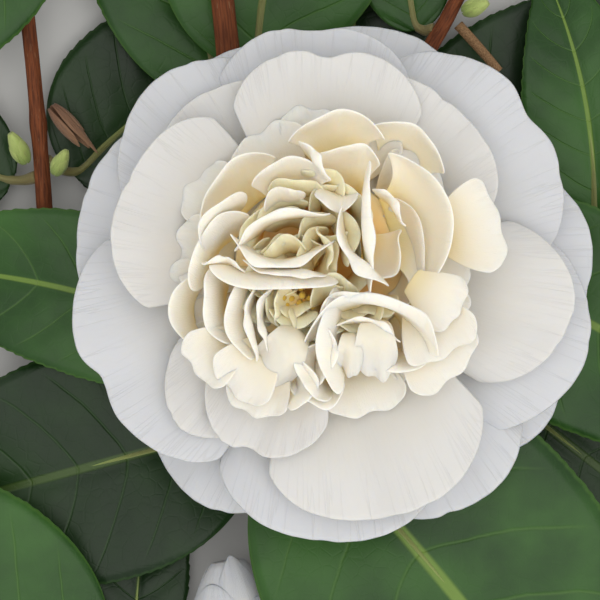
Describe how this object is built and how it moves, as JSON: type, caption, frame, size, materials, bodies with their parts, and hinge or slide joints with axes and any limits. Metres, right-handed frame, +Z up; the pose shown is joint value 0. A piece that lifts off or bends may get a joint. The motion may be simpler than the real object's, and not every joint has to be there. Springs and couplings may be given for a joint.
{
  "type": "cut camellia sprig in bloom",
  "caption": "Cut, leafy camellia sprig lying flat: a large white double bloom faces up over glossy ovate leaves on a woody, forked stem.",
  "frame": {"origin": "bottom centre of the bounding box, on the surface the sprig lies on", "axes": "+Z up, the way the bloom faces; +Y along the sprig from its cut end to its leafy tips; +X to the right"},
  "size_m": [0.205, 0.2606, 0.0621],
  "materials": {
    "petal": "soft satin, cool white",
    "heart": "soft satin, cream",
    "leaf": "glossy dark green",
    "bark": "matt reddish brown",
    "dead_wood": "dry, matt tan",
    "calyx": "downy green",
    "bud": "smooth yellow green"
  },
  "bodies": {
    "root": {"main_stem": "bark", "left_twig_foot": "bark", "left_twig": "bark", "right_twig": "bark", "low_right_twig": "bark", "flower_stalk": "bark", "dead_stub": "dead_wood", "leaf_top_left": "leaf", "leaf_top_right": "leaf", "leaf_left": "leaf", "leaf_lower_right": "leaf", "leaf_bottom_left": "leaf", "leaf_right": "leaf", "leaf_lower_left": "leaf", "leaf_bottom": "leaf", "leaf_right_low": "leaf", "leaf_upper_right": "leaf", "leaf_right_back": "leaf", "leaf_top_back": "leaf", "leaf_top_small": "leaf", "leaf_upper_left": "leaf", "leaf_corner": "leaf", "leaf_far_left": "leaf", "leaf_left_tip": "leaf", "leaf_stem_tip_left": "leaf", "leaf_stem_tip_right": "leaf", "leaf_twig_tip_left": "leaf", "leaf_twig_tip_right": "leaf", "guard_petal_01": "petal", "guard_petal_02": "petal", "guard_petal_03": "petal", "guard_petal_04": "petal", "guard_petal_05": "petal", "guard_petal_06": "petal", "guard_petal_07": "petal", "guard_petal_08": "petal", "guard_petal_09": "petal", "guard_petal_10": "petal", "guard_petal_11": "petal", "guard_petal_12": "petal", "guard_petal_13": "petal", "inner_petal_1": "petal", "inner_petal_2": "petal", "inner_petal_3": "petal", "inner_petal_4": "petal", "inner_petal_5": "petal", "inner_petal_6": "petal", "inner_petal_7": "petal", "inner_petal_8": "petal", "petaloid_heart": "heart", "calyx": "calyx", "opening_bud": "petal", "green_bud_left": "bud", "green_bud_twig": "bud", "green_bud_fork": "bud", "stem_tip_bud": "bud", "old_husk": "dead_wood"}
  },
  "joints": []
}
